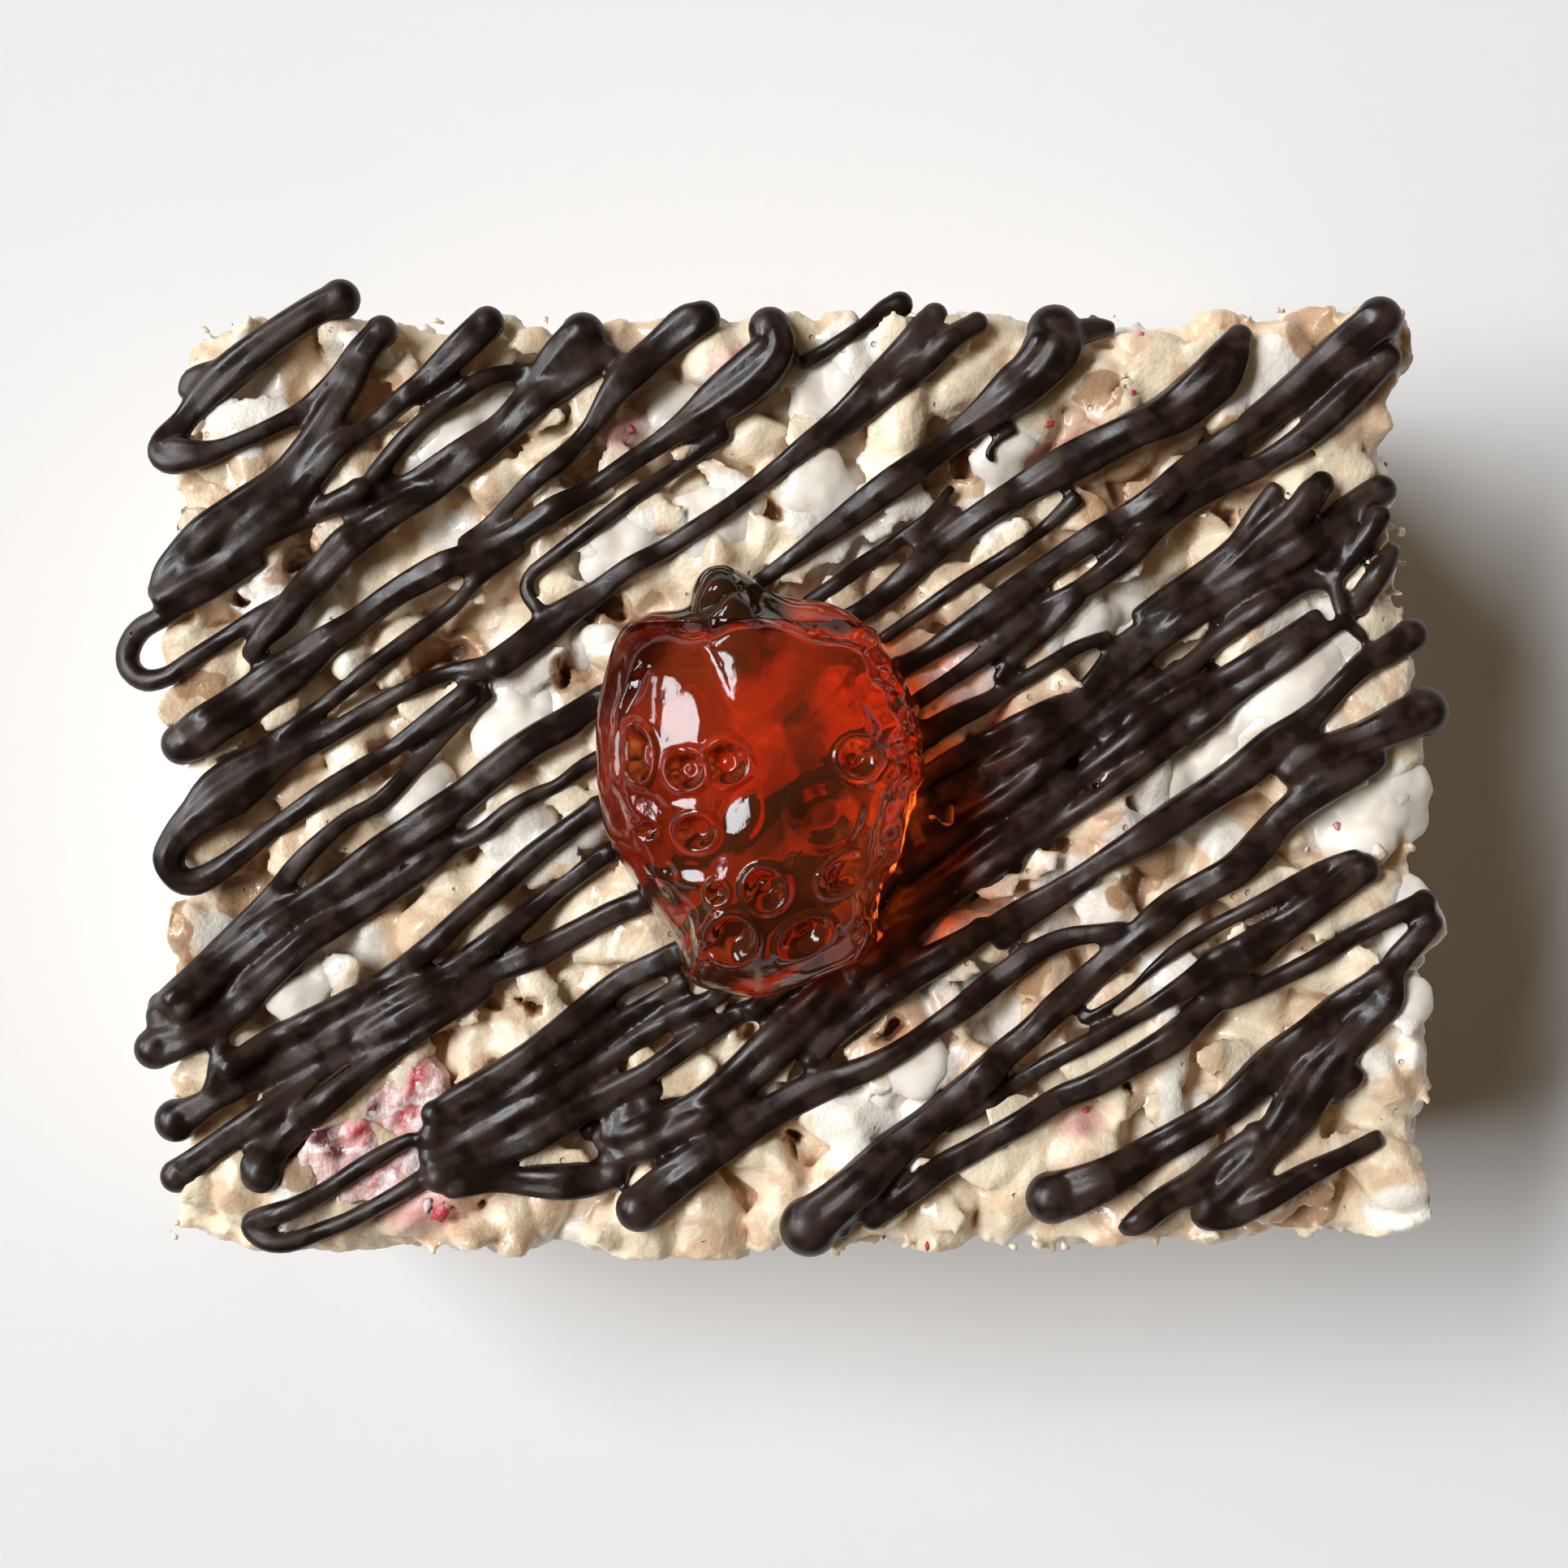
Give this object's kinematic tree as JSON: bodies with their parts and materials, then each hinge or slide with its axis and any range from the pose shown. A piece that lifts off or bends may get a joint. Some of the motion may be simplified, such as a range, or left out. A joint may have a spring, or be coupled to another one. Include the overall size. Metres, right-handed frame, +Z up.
{
  "type": "crisped rice treat",
  "caption": "Rectangular puffed rice and marshmallow treat with diagonal dark chocolate drizzle and a jelly strawberry resting on top.",
  "frame": {"origin": "middle of the block's flat base, on the surface it rests on", "axes": "+Z up, +X along the block's long side, +Y towards the strawberry's leaf end"},
  "size_m": [0.0664, 0.049, 0.0378],
  "materials": {
    "crisped_rice": "pale toasted puffed rice, softly translucent",
    "marshmallow": "white set marshmallow binder, smooth and slightly shiny",
    "chocolate": "dark chocolate drizzle, satin",
    "dried_fruit": "dry crumbly freeze-dried strawberry with a pink bloom",
    "red_jelly": "translucent red jelly, glossy",
    "leaf_jelly": "translucent dark green jelly, glossy"
  },
  "bodies": {
    "root": {"crispy_block": "crisped_rice", "jelly_strawberry": "red_jelly", "jelly_leaf_cap": "leaf_jelly"}
  },
  "joints": []
}
